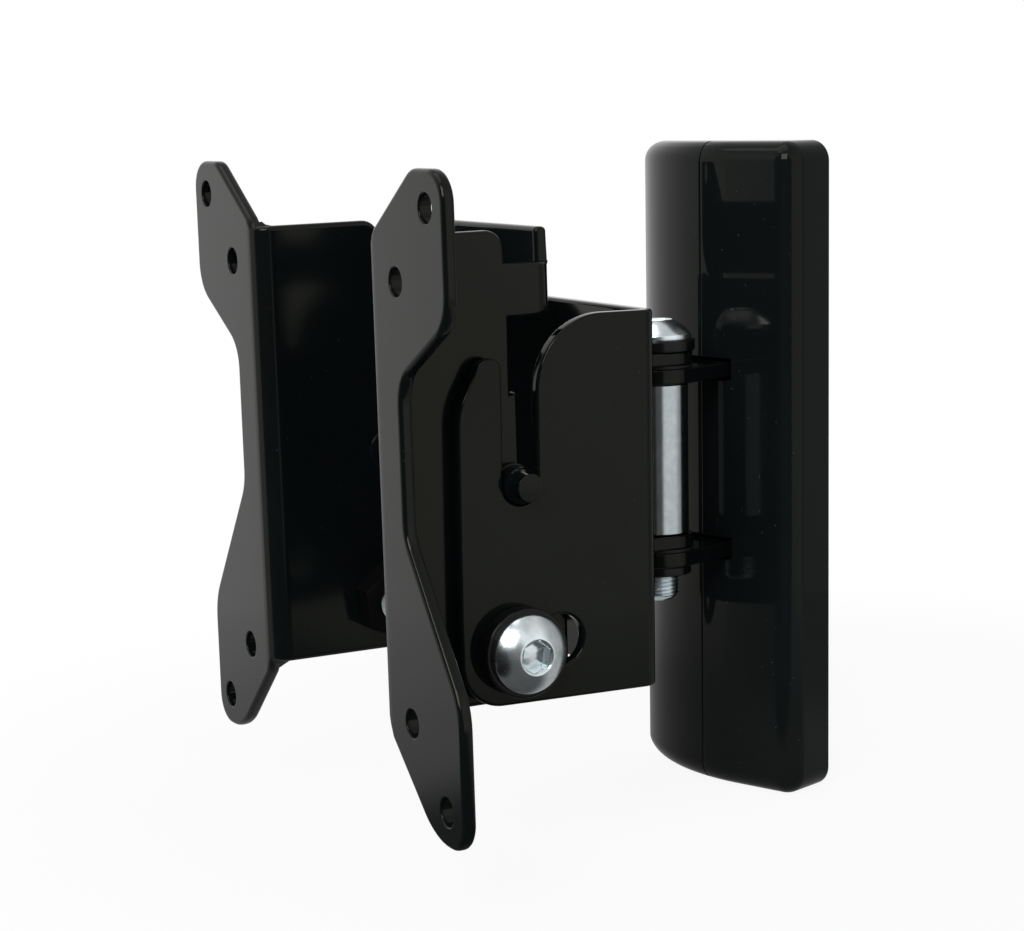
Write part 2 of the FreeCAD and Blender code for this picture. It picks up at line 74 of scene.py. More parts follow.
scene.view_settings.view_transform = "Standard"
MM = 0.001
print("CAD nodes:", len(frame["nodes"]), "box in m:", cad_box)

# %% [markdown]
# ## The two axes
# The mount swivels about an upright bolt and tilts about two studs. Every turned piece stands on one
# of these two axes or beside it, so its place can be read from the joints and from the boxes of the
# CAD nodes. A piece is drawn in millimetres about Z, and one matrix then stands it in its place.

# %% Axes and places
joints = {joint["name"]: joint for joint in frame["joints"]}
UP = Vector((0, 0, 1))
pin = Vector(joints["swivel"]["pos_m"])
pivot = Vector(joints["tilt"]["pos_m"])
pivot_way = Vector(joints["tilt"]["axis"]).normalized()
SIDES = {"right": pivot_way, "left": -pivot_way}


def middle(node):
    """Centre of a CAD node's box."""
    low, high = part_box(node)
    return (low + high) / 2


def standing(place, way):
    """Matrix that turns Z to a direction, scales millimetres to metres and moves to a place."""
    turn = UP.rotation_difference(way).to_matrix().to_4x4()
    return Matrix.Translation(place) @ turn @ Matrix.Scale(MM, 4)


print("pin", pin[:], "pivot", pivot[:], "tilt axis", pivot_way[:])

# %% [markdown]
# ## Shader sums in plain Python
# A material is a tree of small nodes, and long chains of Math nodes are hard to read. This class wraps
# one socket, so that a sum such as `0.1 + 0.05 * grain` adds its own Math nodes. Every other node comes
# from one method, which sets the node's options first and then fills its sockets.

# %% A socket that can be calculated with
class Wire:
    """One output socket in a node tree."""

    def __init__(self, tree, socket=None):
        self.tree = tree
        self.socket = socket

    def node(self, kind, settings=None, sockets=None, out=0):
        """Adds a node with its options and its inputs, and returns one of its outputs."""
        made = self.tree.nodes.new(kind)
        for name, value in (settings or {}).items():
            setattr(made, name, value)
        for name, value in (sockets or {}).items():
            if isinstance(value, Wire):
                self.tree.links.new(value.socket, made.inputs[name])
            else:
                made.inputs[name].default_value = value
        return Wire(self.tree, made.outputs[out] if len(made.outputs) else None)

    def sum_of(self, operation, first, second):
        """Adds one Math node."""
        return self.node("ShaderNodeMath", {"operation": operation}, {0: first, 1: second})

    def __add__(self, other):
        return self.sum_of("ADD", self, other)

    def __radd__(self, other):
        return self.sum_of("ADD", other, self)

    def __sub__(self, other):
        return self.sum_of("SUBTRACT", self, other)

    def __rsub__(self, other):
        return self.sum_of("SUBTRACT", other, self)

    def __mul__(self, other):
        return self.sum_of("MULTIPLY", self, other)

    def __rmul__(self, other):
        return self.sum_of("MULTIPLY", other, self)

    def between(self, low, high):
        """Smooth step: 0 below low, 1 above high."""
        limits = {"Value": self, "From Min": low, "From Max": high}
        return self.node("ShaderNodeMapRange", {"interpolation_type": "SMOOTHSTEP"}, limits)

    def blend(self, first, second):
        """Mixes two colours, by this socket's value."""
        return self.node("ShaderNodeMix", {"data_type": "RGBA"}, {0: self, 6: first, 7: second}, out=2)


print("operators ready:", [name for name in vars(Wire) if name.startswith("__r")])

# %% [markdown]
# ## Finishes
# All finishes read Object coordinates, which are the mount's own metres, so grain keeps its real size
# and stays put when the mount moves. Powder coat flows while it is baked and leaves a faint orange
# peel. That is a shallow noise in the Bump node, with a slow noise that makes some areas a little less
# glossy than others. Fine pale specks stand for the dust that any glossy black surface holds.

# %% Grain and finish helpers
def new_finish(name):
    """Empty material tree, and the Object coordinates that all its patterns read."""
    material = bpy.data.materials.new(name)
    material.use_nodes = True
    material.node_tree.nodes.clear()
    place = Wire(material.node_tree).node("ShaderNodeTexCoord", out="Object")
    return material, place


def grain(place, per_mm, detail=2.0, stretch=None):
    """Noise with features of a given number to the millimetre, stretched along an axis if asked."""
    where = place
    if stretch:
        where = place.node("ShaderNodeMapping", None, {"Vector": place, "Scale": stretch})
    sockets = {"Vector": where, "Scale": per_mm / MM, "Detail": detail}
    return place.node("ShaderNodeTexNoise", None, sockets, out="Fac")


def raised(place, height, depth_mm, strength=1.0):
    """Normal of a surface whose height follows a pattern."""
    sockets = {"Height": height, "Distance": depth_mm * MM, "Strength": strength}
    return place.node("ShaderNodeBump", None, sockets)


def surface(place, sockets):
    """Principled shader on the material's output."""
    shader = place.node("ShaderNodeBsdfPrincipled", None, sockets)
    place.node("ShaderNodeOutputMaterial", None, {"Surface": shader})


def grey(level, cool=0.0):
    """Grey colour, a little bluer if asked."""
    return (level * (1 - cool), level, level * (1 + cool / 3), 1.0)


# Tint of what the black coats mirror
WARM_SHEEN = (1.0, 1.0, 0.80, 1.0)
print("bump is given in millimetres, one noise feature of 1 per mm has scale", 1 / MM)

# %% [markdown]
# ### Black enamel
# The folded brackets are baked black. The same recipe serves a satin coat, on the screen bracket, and
# a mirror like one, on the other sheets and the studs, so it is one function that takes the gloss.

# %% Black enamel
def enamel(name, black, rough, shine, peel_mm):
    """Baked black coat: slow changes of gloss, orange peel and a few specks of dust."""
    material, place = new_finish(name)
    patches = grain(place, 0.05, 3.0)
    peel = grain(place, 0.7, 1.0)
    fine = grain(place, 5.0, 2.0)
    specks = grain(place, 2.4, 0.0).between(0.86, 0.90)
    coat = patches.blend(grey(black * 0.8, 0.3), grey(black * 1.25, 0.3))
    surface(place, {
        "Base Color": specks.blend(coat, grey(0.03)),
        "Roughness": rough * 0.8 + rough * 0.4 * patches + 0.1 * specks,
        "Specular IOR Level": shine,
        "Specular Tint": WARM_SHEEN,
        "Normal": raised(place, peel + 0.15 * fine, peel_mm, 0.5),
    })
    return material


SATIN = enamel("satin_black_enamel", 0.0046, 0.14, 0.185, 0.007)
GLOSS = enamel("gloss_black_enamel", 0.0046, 0.08, 0.165, 0.004)
print("made", SATIN.name, GLOSS.name)

# %% [markdown]
# ### Moulded cover
# The cover is injection moulded and polished like a piano. It has almost no grain. What tells that it
# is plastic is a very slow waviness over the ribs and the finest hairlines from wiping.

# %% Piano black plastic
def polished_plastic(name):
    """Mirror like black plastic with faint waviness and hairlines."""
    material, place = new_finish(name)
    waves = grain(place, 0.06, 0.0)
    hairs = grain(place, 1.2, 2.0, (0.04, 1.0, 3.0)).between(0.62, 0.74)
    specks = grain(place, 1.9, 0.0).between(0.86, 0.90)
    coat = waves.blend(grey(0.0070, 0.25), grey(0.0085, 0.25))
    surface(place, {
        "Base Color": specks.blend(coat, grey(0.05)),
        "Roughness": 0.035 + 0.02 * waves + 0.02 * hairs + 0.1 * specks,
        "Specular IOR Level": 0.12,
        "Specular Tint": WARM_SHEEN,
        "Normal": raised(place, waves, 0.03, 0.3),
    })
    return material


PIANO = polished_plastic("piano_black_plastic")
print("made", PIANO.name)

# %% [markdown]
# ### Zinc plate, black oxide and nylon
# Bolts and the sleeve are bright zinc plated: a slightly blue metal, faintly mottled where the bath
# left crystals, and the drawn tube of the sleeve is smoother than the forged heads. Thick washers and
# the pressed nut are blackened steel, hexagon nuts are a dull phosphate black, and the thin washers
# are black nylon.

# %% Zinc, black oxide and nylon
def zinc_plate(name, bright, rough):
    """Bright zinc: mottled blue white metal with fine pits."""
    material, place = new_finish(name)
    mottle = grain(place, 0.5, 4.0)
    pits = grain(place, 4.0, 2.0)
    blotch = mottle.between(0.35, 0.7)
    surface(place, {
        "Base Color": blotch.blend(grey(bright * 0.88, 0.1), grey(bright, 0.06)),
        "Metallic": 1.0,
        "Roughness": rough + 0.12 * pits + 0.05 * mottle,
        "Normal": raised(place, pits, 0.006, 0.6),
    })
    return material


def dark_fitting(name, dark, rough, shine, grain_per_mm):
    """Black fitting with a finely grained surface."""
    material, place = new_finish(name)
    fine = grain(place, grain_per_mm, 3.0)
    patches = grain(place, 0.25, 2.0)
    surface(place, {
        "Base Color": patches.blend(grey(dark * 0.7), grey(dark * 1.4)),
        "Roughness": rough * 0.8 + rough * 0.4 * fine,
        "Specular IOR Level": shine,
        "Normal": raised(place, fine, 0.008, 0.6),
    })
    return material


ZINC = zinc_plate("bright_zinc_plate", 0.90, 0.16)
TUBE = zinc_plate("drawn_zinc_tube", 0.54, 0.08)
OXIDE = dark_fitting("black_oxide", 0.004, 0.18, 0.20, 2.0)
PHOSPHATE = dark_fitting("black_phosphate", 0.003, 0.60, 0.04, 2.0)
NYLON = dark_fitting("black_nylon", 0.008, 0.40, 0.20, 1.2)
print("made", ZINC.name, TUBE.name, OXIDE.name, PHOSPHATE.name, NYLON.name)

# %% [markdown]
# ## From mesh to piece
# Each finished mesh becomes an object at the origin, with its place in its vertices. It rides on the
# CAD body it belongs to, and the CAD node that it stands for is hidden.

# %% Finish a piece
SMOOTH_BELOW = math.radians(40)


def finish_piece(name, bm, body, slot, material, *nodes):
    """Writes a bmesh into an object that rides on a body and stands for CAD nodes."""
    mesh = bpy.data.meshes.new(name)
    bm.to_mesh(mesh)
    bm.free()
    mesh.shade_smooth()
    mesh.set_sharp_from_angle(angle=SMOOTH_BELOW)
    mesh.materials.append(material)
    piece = bpy.data.objects.new(name, mesh)
    scene.collection.objects.link(piece)
    even = piece.modifiers.new("even_normals", "WEIGHTED_NORMAL")
    even.keep_sharp = True
    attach(piece, body)
    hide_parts(*nodes)
    print(name, "faces:", len(mesh.polygons))


print("shaded smooth below", round(math.degrees(SMOOTH_BELOW)), "degrees")

# %% [markdown]
# ## Folded sheets
# A punched sheet never has a knife edge: the punch rolls the edge over and the coat flows round it.
# The CAD solids have crisp edges, so a copy of each mesh is welded, its flat triangles are dissolved
# into whole faces, and its crisp edges are beveled. A bevel on the copy keeps bends and holes exactly
# where they are, which modelling the sheet again would not.
#
# First the edges are chosen. Only outer edges are eased. The fine steps of a bend lie under CRISP. The
# thin ends of a notch lie over KNIFE, or beside a face smaller than SLIVER, and leave a bevel no room.
# Small holes are eased less, so their rims are found as short runs that touch no other crisp edge.

# %% Edges to ease
CRISP = math.radians(35)
KNIFE = math.radians(115)
SLIVER = 0.2 * MM * MM
HOLE_RIM = 30 * MM


def crisp_edges(bm, sliver=0.0):
    """Outer edges that a hand would feel as sharp, without knife edges and those of very small faces."""
    return [edge for edge in bm.edges
            if edge.is_manifold and edge.is_convex and CRISP < edge.calc_face_angle() < KNIFE
            and min(face.calc_area() for face in edge.link_faces) > sliver]


def hole_rims(edges):
    """Those of the edges that run round a small hole: short runs that touch no other edge."""
    left, rims = set(edges), []
    while left:
        run, queue = [], [left.pop()]
        while queue:
            edge = queue.pop()
            run.append(edge)
            joined = {other for vert in edge.verts for other in vert.link_edges} & left
            left -= joined
            queue += joined
        if sum(edge.calc_length() for edge in run) < HOLE_RIM:
            rims += run
    return sorted(rims, key=lambda edge: edge.index)


print("a hole's rim is shorter than", HOLE_RIM / MM, "mm")

# %% [markdown]
# ### Rounding
# One bevel rounds all the chosen edges. Where several meet in a narrow corner it can throw a point far
# out. A point that ends too far from the old edges, or too far off the old skin, is drawn back to the
# middle of its neighbours, which is safer than trying ever smaller widths.

# %% Rounding
MARKS_IN_WIDTH = 4
TOO_FAR = 1.5
TOO_DEEP = 0.5


def marks_along(edges, spacing):
    """Points set out along edges, in a tree that finds the nearest one."""
    places = []
    for edge in edges:
        start, end = (vert.co.copy() for vert in edge.verts)
        parts = max(1, math.ceil((end - start).length / spacing))
        places += [start.lerp(end, part / parts) for part in range(parts + 1)]
    tree = KDTree(len(places))
    for index, place in enumerate(places):
        tree.insert(place, index)
    tree.balance()
    return tree


def ease(bm, edges, width, segments):
    """Rounds edges, and draws points that the bevel threw too far back to their neighbours."""
    if not edges:
        return 0
    marks = marks_along(edges, width / MARKS_IN_WIDTH)
    skin = BVHTree.FromBMesh(bm)
    made = bmesh.ops.bevel(bm, geom=edges, offset=width, segments=segments, profile=0.5,
                           affect="EDGES", material=-1)["verts"]
    stray = {vert for vert in made if marks.find(vert.co)[2] > TOO_FAR * width
             or skin.find_nearest(vert.co)[3] > TOO_DEEP * width}
    found = len(stray)
    while stray:
        settled = {}
        for vert in stray:
            near = [edge.other_vert(vert) for edge in vert.link_edges]
            near = [other.co for other in near if other not in stray]
            if near:
                settled[vert] = sum(near, Vector()) / len(near)
        if not settled:
            break
        for vert, place in settled.items():
            vert.co = place
        stray -= settled.keys()
    return found


print("stray points lie over", TOO_FAR, "widths from the old edges or", TOO_DEEP, "off the old skin")

# %% [markdown]
# ### Soft corners and a closed seam
# The flanges of the screen bracket are blanked with soft corners at the waist and at the shoulders. The
# arcs are in the mesh already, so each one is widened by moving its points away from the place where the
# straight sides would meet. The two halves of the cover press together inside. There the parting faces
# are brought close, so that hardly any light shows, and the groove outside stays.

# %% Soft corners and a closed seam
TILT_AT_REST = math.radians(1)
FLANGE_BACK = -22.5
# Place across and above the pivot, reach of the old arc, both in mm, and how much wider it gets
SOFT_CORNERS = (
    (37.3, 20.8, 1.85, 2.3),
    (37.3, -5.6, 1.1, 2.6),
    (56.5, 31.5, 3.3, 1.5),
    (56.5, -31.3, 1.9, 2.2),
)
SEAM_REACH = 0.15 * MM
SEAM_LEFT = 0.01 * MM
SEAM_INSIDE = (-11.4 * MM, 62.0 * MM)
SEAM_BACK = -1.0 * MM


def soften(bm):
    """Widens the soft corners of the flanges, on both sides of the pivot."""
    upright = Matrix.Rotation(TILT_AT_REST, 3, pivot_way) @ UP
    depth_way = upright.cross(pivot_way)
    for vert in bm.verts:
        from_pivot = (vert.co - pivot) / MM
        across, high = from_pivot.dot(pivot_way), from_pivot.dot(upright)
        for corner_across, corner_high, reach, gain in SOFT_CORNERS:
            aside, above = across - math.copysign(corner_across, across), high - corner_high
            if from_pivot.dot(depth_way) < FLANGE_BACK and math.hypot(aside, above) < reach:
                vert.co += (gain - 1) * MM * (aside * pivot_way + above * upright)


def close_seam(bm):
    """Brings the inner and back edges of the cover's parting faces close, to keep light out."""
    for vert in bm.verts:
        inside = vert.co.y > SEAM_INSIDE[0] and abs(vert.co.z) < SEAM_INSIDE[1]
        if (inside or vert.co.y > SEAM_BACK) and abs(vert.co.x) < SEAM_REACH:
            vert.co.x = math.copysign(SEAM_LEFT, vert.co.x)


print("soft corners on each side:", len(SOFT_CORNERS), "seam left inside in mm:", 2 * SEAM_LEFT / MM)

# %% [markdown]
# ### The sheets and the cover
# Each sheet and each half of the cover is now copied, reshaped where that is asked for, and eased, the
# small holes first. Thick coat makes the widest edges, on the screen bracket, and the mould leaves the
# cover's edges almost sharp.

# %% Eased copies of the sheets and shells
WELD = 1e-6
FLAT = math.radians(1)
EDGE_STEPS = 4
RIM_STEPS = 3
# Widths in mm of the eased edges and of the eased rims of holes
SCREEN_EDGES = (0.9, 0.3)
SWIVEL_EDGES = (0.6, 0.3)
YOKE_EDGES = (0.4, 0.2)
PLATE_EDGES = (0.4, 0.3)
COVER_EDGES = (0.25, 0.2)


def eased_sheet(name, node, body, slot, material, widths, reshape=None):
    """Copy of a CAD node's mesh, reshaped if asked, with its crisp edges and its hole rims rounded."""
    width, rim_width = widths
    bm = bmesh.new()
    bm.from_mesh(frame["nodes"][node].data)
    bmesh.ops.remove_doubles(bm, verts=bm.verts, dist=WELD)
    bmesh.ops.dissolve_limit(bm, angle_limit=FLAT, verts=bm.verts, edges=bm.edges)
    if reshape:
        reshape(bm)
    bm.edges.index_update()
    drawn_back = ease(bm, hole_rims(crisp_edges(bm)), rim_width * MM, RIM_STEPS)
    drawn_back += ease(bm, crisp_edges(bm, SLIVER), width * MM, EDGE_STEPS)
    print(node, "points drawn back:", drawn_back)
    finish_piece(name, bm, body, slot, material, node)


eased_sheet("folded_screen_bracket", "screen_bracket", "screen", "satin_steel", SATIN,
            SCREEN_EDGES, soften)
eased_sheet("folded_swivel_bracket", "swivel_bracket", "swivel", "black_steel", GLOSS, SWIVEL_EDGES)
eased_sheet("folded_swivel_yoke", "swivel_yoke", "swivel", "black_steel", GLOSS, YOKE_EDGES)
eased_sheet("folded_wall_yoke", "wall_yoke", "wall", "black_steel", GLOSS, YOKE_EDGES)
eased_sheet("punched_wall_plate", "wall_plate", "wall", "black_steel", GLOSS, PLATE_EDGES)
for node in ("cover_left", "cover_right"):
    eased_sheet("moulded_" + node, node, "wall", "gloss_cover", PIANO, COVER_EDGES, close_seam)

# %% [markdown]
# ## Turned pieces
# Washers, studs and the sleeve come from a lathe, and spin is Blender's lathe: half of the section is
# drawn as a line of corners, each a radius and a level, and swept once round. Merging the ends closes
# the ring, and a bevel breaks the edges as the turner's file does.

# %% Lathe
ROUND_STEPS = 72
TURNED_EDGE_STEPS = 3
RING_WELD = 1e-4


def lathe(corners, broken_edge, ring=True):
    """Spins a section, given as (radius, level) in millimetres, once about Z."""
    bm = bmesh.new()
    line = [bm.verts.new((radius, 0, level)) for radius, level in corners]
    runs = [bm.edges.new(pair) for pair in zip(line, line[1:])]
    if ring:
        runs.append(bm.edges.new((line[-1], line[0])))
    bmesh.ops.spin(bm, geom=line + runs, cent=(0, 0, 0), axis=(0, 0, 1), angle=math.tau,
                   steps=ROUND_STEPS, use_merge=True)
    bmesh.ops.remove_doubles(bm, verts=bm.verts, dist=RING_WELD)
    bmesh.ops.recalc_face_normals(bm, faces=bm.faces)
    ease(bm, crisp_edges(bm), broken_edge, TURNED_EDGE_STEPS)
    return bm


def turned_piece(name, node, body, slot, material, bm, place, way):
    """Stands a turned mesh in its place and finishes it."""
    bmesh.ops.transform(bm, matrix=standing(place, way), verts=bm.verts)
    finish_piece(name, bm, body, slot, material, node)


def washer(outer, bore, thick):
    """Section of a flat washer about its middle."""
    half = thick / 2
    return [(bore, -half), (outer, -half), (outer, half), (bore, half)]


print("one ring of a washer has", ROUND_STEPS, "steps")

# %% [markdown]
# Thick black washers sit under the two clamp heads, thin ones part the walls from the arms. On the
# swivel bolt a black washer is under the head, and two nylon ones take the rubbing.

# %% Washers
BOLT = 4.0
BOLT_GAP = 0.25
CLAMP_WASHER = (8.0, 3.4)
TILT_WASHER = (8.0, 0.95)
HEAD_WASHER = (7.5, 2.2)
FRICTION_WASHER = (7.0, 0.6)
STEEL_EDGE = 0.35
TILT_EDGE = 0.15
FRICTION_EDGE = 0.12


def washer_ring(size, edge):
    """Washer for the bolts, given its outer radius and its thickness."""
    outer, thick = size
    return lathe(washer(outer, BOLT + BOLT_GAP, thick), edge)


for side, way in SIDES.items():
    for label, size, edge, slot, finish in (
            ("clamp_washer", CLAMP_WASHER, STEEL_EDGE, "black_hardware", OXIDE),
            ("tilt_washer", TILT_WASHER, TILT_EDGE, "nylon", NYLON)):
        node = label + "_" + side
        turned_piece("turned_" + node, node, "screen", slot, finish,
                     washer_ring(size, edge), middle(node), way)

turned_piece("turned_head_washer", "swivel_head_washer", "wall", "black_hardware", OXIDE,
             washer_ring(HEAD_WASHER, STEEL_EDGE), middle("swivel_head_washer"), UP)
for node in ("friction_washer_upper", "friction_washer_lower"):
    turned_piece("punched_" + node, node, "wall", "nylon", NYLON,
                 washer_ring(FRICTION_WASHER, FRICTION_EDGE), middle(node), UP)

# %% [markdown]
# The plated sleeve keeps the two yokes apart. It is a piece of tube with broken edges. The nut below is
# pressed into the lower ear: a flange shows under the ear and a collar fills its hole.

# %% Sleeve and pressed nut
SLEEVE = (6.1, 4.2, 29.2)
NUT_FLANGE = (6.5, 1.7)
NUT_COLLAR = (5.25, 4.7)
SLEEVE_EDGE = 0.4
NUT_EDGE = 0.25

turned_piece("plated_sleeve", "swivel_sleeve", "wall", "zinc", TUBE,
             lathe(washer(*SLEEVE), SLEEVE_EDGE), middle("swivel_sleeve"), UP)

nut_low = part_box("swivel_nut")[0].z
nut_section = [(BOLT, 0), (NUT_FLANGE[0], 0), (NUT_FLANGE[0], NUT_FLANGE[1]),
               (NUT_COLLAR[0], NUT_FLANGE[1]), (NUT_COLLAR[0], NUT_COLLAR[1]), (BOLT, NUT_COLLAR[1])]
turned_piece("pressed_swivel_nut", "swivel_nut", "wall", "black_hardware", OXIDE,
             lathe(nut_section, NUT_EDGE), Vector((pin.x, pin.y, nut_low)), UP)

# %% [markdown]
# The studs carry the weight. Each is riveted into a channel wall: a low rivet head inside, a shoulder
# that spaces the wall from the arm, a smooth part that rests in the hook, and a thinner end.

# %% Pivot studs
WALL_IN = 25.0
WALL_OUT = 27.5
ARM_IN = 28.5
ARM_OUT = 31.0
STUD = 3.3
STUD_TIP = ARM_OUT + 3.9
STUD_END = 2.55
NECK = (ARM_OUT + 0.2, ARM_OUT + 1.1)
RIVET = (4.0, 0.5)
RIVET_SLOPE = 0.8
RIVET_RIM = 0.4
TAIL = 2.5
SHOULDER = (3.7, ARM_IN - 0.05)
STUD_EDGE = 0.2

rivet_top = WALL_IN - RIVET[1]
stud_section = [
    (0, rivet_top), (RIVET[0] - RIVET_SLOPE, rivet_top), (RIVET[0], WALL_IN - RIVET_RIM),
    (RIVET[0], WALL_IN), (TAIL, WALL_IN), (TAIL, WALL_OUT), (SHOULDER[0], WALL_OUT), SHOULDER,
    (STUD, SHOULDER[1]), (STUD, NECK[0]), (STUD_END, NECK[1]), (STUD_END, STUD_TIP), (0, STUD_TIP),
]
for side, way in SIDES.items():
    node = "pivot_stud_" + side
    turned_piece("riveted_" + node, node, "screen", "black_hardware", GLOSS,
                 lathe(stud_section, STUD_EDGE, ring=False), pivot, way)

# %% [markdown]
# ## Bolts
# A button head is a cap of a ball on a short rim, with a hexagon socket. A spin draws the cap's arc,
# a second spin sweeps it round. The socket starts as a six sided loop whose sides are cut until it has
# as many points as the mouth, so that bridge_loops can join them. Extruding the loop sinks the socket,
# and poking the floor makes the point that the drill left.

# %% Button head with a socket
HEX_CUTS = ROUND_STEPS // 6 - 1
DOME_STEPS = 14
MOUTH = 3.2
LEAD_IN = 0.45
DRILL_POINT = 0.5
HEAD_EDGE = 0.12
HEAD_EDGE_STEPS = 2


def wire_runs(bm):
    """Edges that belong to no face yet."""
    return [edge for edge in bm.edges if edge.is_wire]


def hex_loop(bm, across_flats, level):
    """Six sided loop with as many points as a round one."""
    corner = across_flats / math.sqrt(3)
    bmesh.ops.create_circle(bm, segments=6, radius=corner, matrix=Matrix.Translation((0, 0, level)))
    bmesh.ops.subdivide_edges(bm, edges=wire_runs(bm), cuts=HEX_CUTS)
    return wire_runs(bm)


def lowered(bm, loop, drop):
    """Extrudes a loop of edges straight down and returns the new loop."""
    grown = bmesh.ops.extrude_edge_only(bm, edges=loop)["geom"]
    points = [item for item in grown if isinstance(item, bmesh.types.BMVert)]
    bmesh.ops.translate(bm, vec=(0, 0, -drop), verts=points)
    return [item for item in grown if isinstance(item, bmesh.types.BMEdge) and item.is_boundary]


def button_head(width, high, rim, across_flats, deep):
    """Domed head that stands on Z = 0, with a hexagon socket."""
    half = width / 2
    rise = high - rim
    ball = (half ** 2 + rise ** 2) / (2 * rise)
    bm = bmesh.new()
    start = bm.verts.new((half, 0, rim))
    sweep = math.asin(half / ball) - math.asin(MOUTH / ball)
    bmesh.ops.spin(bm, geom=[start], cent=(0, 0, high - ball), axis=(0, -1, 0), angle=sweep,
                   steps=DOME_STEPS)
    rim_low = bm.verts.new((half, 0, 0))
    centre = bm.verts.new((0, 0, 0))
    bm.edges.new((start, rim_low))
    bm.edges.new((rim_low, centre))
    bmesh.ops.spin(bm, geom=bm.verts[:] + bm.edges[:], cent=(0, 0, 0), axis=(0, 0, 1), angle=math.tau,
                   steps=ROUND_STEPS, use_merge=True)
    bmesh.ops.remove_doubles(bm, verts=bm.verts, dist=RING_WELD)
    mouth = [edge for edge in bm.edges if edge.is_boundary]
    mouth_level = mouth[0].verts[0].co.z
    hexagon = hex_loop(bm, across_flats, mouth_level - LEAD_IN)
    bmesh.ops.bridge_loops(bm, edges=mouth + hexagon)
    floor_loop = lowered(bm, hexagon, deep - LEAD_IN)
    floor = bmesh.ops.contextual_create(bm, geom=floor_loop)["faces"]
    bmesh.ops.poke(bm, faces=floor, offset=-DRILL_POINT)
    bmesh.ops.recalc_face_normals(bm, faces=bm.faces)
    ease(bm, crisp_edges(bm), HEAD_EDGE, HEAD_EDGE_STEPS)
    return bm


print("a socket side is cut into", HEX_CUTS + 1)

# %% [markdown]
# Threads are cut by a tool that climbs one pitch in each turn. Spin does the same when each step also
# moves up: a short V shaped line winds into a helix. Turns meet exactly, so welding makes one skin, and
# two bisect cuts trim its ends flat.

# %% Thread
THREAD_STEPS = 40
# Depth, and half the width of the flat crest, as shares of the pitch
THREAD_DEEP = 0.61
THREAD_CREST = 0.08


def add_thread(bm, radius, pitch, low, high, point):
    """Winds a thread between two levels and tapers its lower end over a short point."""
    before = set(bm.verts)
    turns = math.ceil((high - low) / pitch) + 2
    core = radius - THREAD_DEEP * pitch
    flat = THREAD_CREST * pitch
    start = low - pitch
    corners = [(core, 0), (radius, pitch / 2 - flat), (radius, pitch / 2 + flat), (core, pitch)]
    line = [bm.verts.new((across, 0, start + rise)) for across, rise in corners]
    runs = [bm.edges.new(pair) for pair in zip(line, line[1:])]
    bmesh.ops.spin(bm, geom=line + runs, cent=(0, 0, 0), axis=(0, 0, 1), angle=math.tau * turns,
                   steps=THREAD_STEPS * turns, dvec=(0, 0, pitch / THREAD_STEPS))
    bmesh.ops.remove_doubles(bm, verts=[v for v in bm.verts if v not in before], dist=RING_WELD)
    for level, way in ((low, 1), (high, -1)):
        wound = [v for v in bm.verts if v not in before]
        runs = dict.fromkeys(edge for v in wound for edge in v.link_edges)
        faces = dict.fromkeys(face for v in wound for face in v.link_faces)
        bmesh.ops.bisect_plane(bm, geom=wound + list(runs) + list(faces), plane_co=(0, 0, level),
                               plane_no=(0, 0, way), clear_inner=True)
    open_runs = [edge for edge in bm.edges if edge.is_boundary]
    bmesh.ops.holes_fill(bm, edges=open_runs, sides=0)
    for vert in [v for v in bm.verts if v not in before]:
        limit = radius - max(0.0, point - (vert.co.z - low))
        across = vert.co.xy.length
        if across > limit:
            vert.co.x *= limit / across
            vert.co.y *= limit / across
    bmesh.ops.recalc_face_normals(bm, faces=bm.faces)


def add_shank(bm, radius, high, low):
    """Plain part of a bolt's shank."""
    bmesh.ops.create_cone(bm, cap_ends=True, segments=ROUND_STEPS, radius1=radius, radius2=radius,
                          depth=high - low, matrix=Matrix.Translation((0, 0, (high + low) / 2)))


print("one turn of a thread has", THREAD_STEPS, "steps")

# %% [markdown]
# The clamp bolts squeeze the arms on the channel walls. The swivel bolt stands through both yokes, and
# its last turns of fine thread show under the pressed nut.

# %% Clamp bolts and swivel bolt
# Width, height and rim of a head, then the width and the depth of its socket
CLAMP_HEAD = (14.0, 4.4, 1.0, 5.0, 2.8)
SWIVEL_HEAD = (13.6, 4.4, 0.9, 5.0, 2.6)
CLAMP_SHANK = 15.3
# Pitch and length of a thread
CLAMP_THREAD = (1.25, 7.8)
SWIVEL_THREAD = (0.75, 11.0)
CLAMP_POINT = 0.2
SWIVEL_POINT = 0.9
INTO_HEAD = 0.2


def bolt(head, shank, thread, point):
    """Button head bolt whose seat is at Z = 0, with a plain shank and a thread on its end."""
    pitch, threaded = thread
    bm = button_head(*head)
    add_thread(bm, BOLT, pitch, -shank, threaded - shank, point)
    add_shank(bm, BOLT, INTO_HEAD, threaded - shank)
    return bm


for side, way in SIDES.items():
    node = "clamp_bolt_" + side
    seat = middle("clamp_washer_" + side) + way * CLAMP_WASHER[1] / 2 * MM
    turned_piece("button_head_" + node, node, "screen", "zinc", ZINC,
                 bolt(CLAMP_HEAD, CLAMP_SHANK, CLAMP_THREAD, CLAMP_POINT), seat, way)

swivel_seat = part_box("swivel_head_washer")[1].z
swivel_shank = (swivel_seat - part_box("swivel_bolt")[0].z) / MM
turned_piece("button_head_swivel_bolt", "swivel_bolt", "wall", "zinc", ZINC,
             bolt(SWIVEL_HEAD, swivel_shank, SWIVEL_THREAD, SWIVEL_POINT),
             Vector((pin.x, pin.y, swivel_seat)), UP)

# %% [markdown]
# The nuts inside the channel are hexagons whose corners are turned off at 30 degrees. Loops from the
# bore's edge outwards are bridged one after another, and the corner loop is lowered by its own radius,
# which draws the curved facets that every nut has.

# %% Clamp nuts
NUT = (13.0, 6.5)
NUT_FACE = 0.46
NUT_LEAD_IN = 0.5
NUT_SLOPE = math.tan(math.radians(30))


